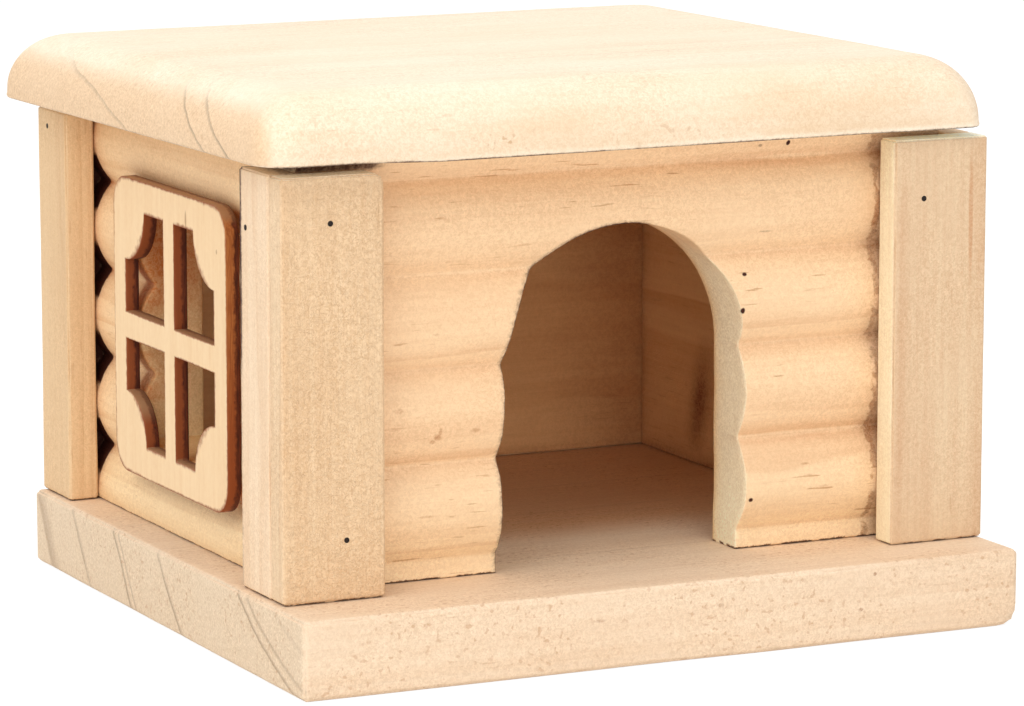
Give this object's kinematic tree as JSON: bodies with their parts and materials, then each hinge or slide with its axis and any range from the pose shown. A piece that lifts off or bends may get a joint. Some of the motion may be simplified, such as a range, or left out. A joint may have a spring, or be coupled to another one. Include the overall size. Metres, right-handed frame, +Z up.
{
  "type": "wooden hamster house",
  "caption": "Pine hamster house with log-milled walls, an arched doorway, a cross-barred window plate and a loose roof board that lifts off.",
  "frame": {"origin": "middle of the base board's underside", "axes": "+Z up, front with the doorway towards -Y, +X to the right seen from the front"},
  "size_m": [0.1254, 0.1141, 0.0874],
  "materials": {
    "base_pine": "sanded, bare",
    "wall_pine": "milled, bare",
    "board_pine": "sawn, bare",
    "roof_pine": "sanded, bare",
    "cleat_pine": "sawn, bare",
    "plywood": "laser-cut, bare",
    "brad_steel": "bare"
  },
  "bodies": {
    "house": {"base_board": "base_pine", "front_wall": "wall_pine", "left_wall": "wall_pine", "right_wall": "wall_pine", "back_wall": "wall_pine", "front_left_corner_board": "board_pine", "front_right_corner_board": "board_pine", "left_front_side_board": "board_pine", "left_back_side_board": "board_pine", "right_front_side_board": "board_pine", "right_back_side_board": "board_pine", "window_frame": "plywood", "corner_board_brads": "brad_steel", "wall_brads": "brad_steel", "base_brads": "brad_steel"},
    "roof": {"roof_board": "roof_pine", "roof_cleat_left": "cleat_pine", "roof_cleat_right": "cleat_pine", "cleat_brads": "brad_steel"}
  },
  "joints": [
    {"name": "roof_lift", "type": "slide", "parent": "house", "child": "roof", "axis": [0, 0, 1], "range_m": [0, 0.04]}
  ]
}
